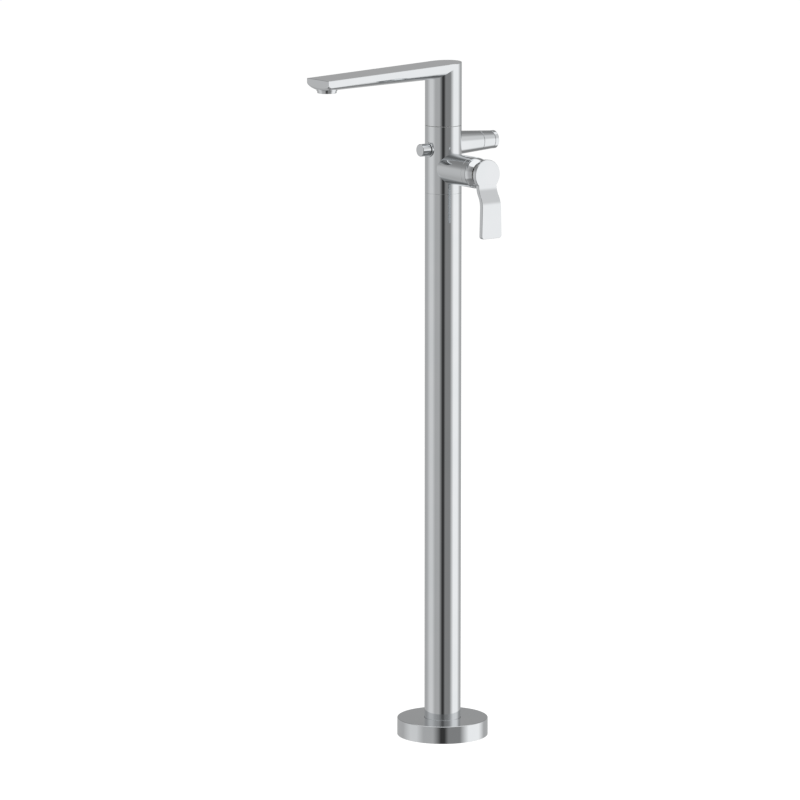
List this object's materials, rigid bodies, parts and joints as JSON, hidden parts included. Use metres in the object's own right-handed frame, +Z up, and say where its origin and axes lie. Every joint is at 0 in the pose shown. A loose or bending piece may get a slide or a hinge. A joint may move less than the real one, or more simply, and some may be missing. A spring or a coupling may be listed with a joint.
{
  "type": "floor standing bath filler",
  "caption": "Round column on a round floor cover, swivel spout with a flat sloping top, side valve barrel with a hanging paddle lever, pull knob diverter and rear shower outlet.",
  "frame": {"origin": "the column's axis at floor level, which is the centre of the floor plate's bolt circle on its underside", "axes": "+Z up the column; -Y towards the bath, along the spout and the diverter knob; +Y along the shower outlet; +X along the valve barrel to the lever"},
  "size_m": [0.1725, 0.294, 0.9331],
  "materials": {
    "chrome": "polished chrome plate on brass",
    "brass": "machined brass, unplated",
    "galvanised_steel": "zinc plated steel",
    "stainless_steel": "plain stainless steel",
    "black_rubber": "black sealing rubber",
    "white_nylon": "natural white bearing plastic",
    "grey_plastic": "grey glass-filled cartridge plastic",
    "blue_plastic": "blue moulded non-return valve",
    "ceramic": "ground and lapped white ceramic"
  },
  "bodies": {
    "column": {"floor_plate": "galvanised_steel", "column_spigot": "galvanised_steel", "spigot_screws": "stainless_steel", "inlet_block": "brass", "inlet_check_valves": "blue_plastic", "cold_riser": "stainless_steel", "hot_riser": "stainless_steel", "riser_seals": "black_rubber", "column_tube": "chrome", "column_grub_screws": "stainless_steel", "cover_flange": "chrome", "cover_seal": "black_rubber", "mixer_body": "chrome", "body_seal": "black_rubber", "cartridge_base": "grey_plastic", "cartridge_seals": "black_rubber", "cartridge_case": "grey_plastic", "fixed_disc": "ceramic", "cartridge_nut": "brass", "cartridge_dome": "chrome", "diverter_bonnet": "chrome", "diverter_seal": "black_rubber", "diverter_spring": "stainless_steel", "outlet_sleeve": "chrome", "outlet_collar": "chrome", "outlet_check_valve": "blue_plastic", "outlet_washer": "black_rubber", "swivel_nipple": "brass", "nipple_seals": "black_rubber", "glide_rings": "white_nylon", "thrust_ring": "white_nylon"},
    "spout": {"spout_body": "chrome", "spout_grub_screw": "stainless_steel", "aerator_housing": "chrome", "aerator_insert": "grey_plastic", "aerator_seal": "black_rubber"},
    "rotor": {"cartridge_rotor": "white_nylon", "pivot_pin": "stainless_steel"},
    "disc_carriage": {"disc_carrier": "white_nylon", "moving_disc": "ceramic"},
    "lever_arm": {"lever": "chrome", "cartridge_stem": "stainless_steel", "lever_grub_screw": "stainless_steel"},
    "diverter": {"diverter_knob": "chrome", "diverter_stem": "stainless_steel", "diverter_piston": "black_rubber"}
  },
  "joints": [
    {"name": "spout_swivel", "type": "hinge", "parent": "column", "child": "spout", "pos_m": [0, 0, 0.847], "axis": [0, 0, 1], "range_deg": [-75, 75]},
    {"name": "lever_turn", "type": "hinge", "parent": "column", "child": "rotor", "pos_m": [0.068, 0, 0.7895], "axis": [1, 0, 0], "range_deg": [-45, 45]},
    {"name": "lever_lift", "type": "hinge", "parent": "rotor", "child": "lever_arm", "pos_m": [0.068, 0, 0.7895], "axis": [0, -1, 0], "range_deg": [0, 24]},
    {"name": "disc_slide", "type": "slide", "parent": "rotor", "child": "disc_carriage", "axis": [0, 0, -1], "range_m": [0, 0.0042]},
    {"name": "diverter_pull", "type": "slide", "parent": "column", "child": "diverter", "axis": [0, -1, 0], "range_m": [0, 0.009], "stiffness_N_per_m": 300, "springref_m": -0.005, "deforming": ["diverter_spring"]}
  ],
  "couplings": [
    {"joint": "disc_slide", "follows": "lever_lift", "m_per_rad": 0.00971}
  ]
}
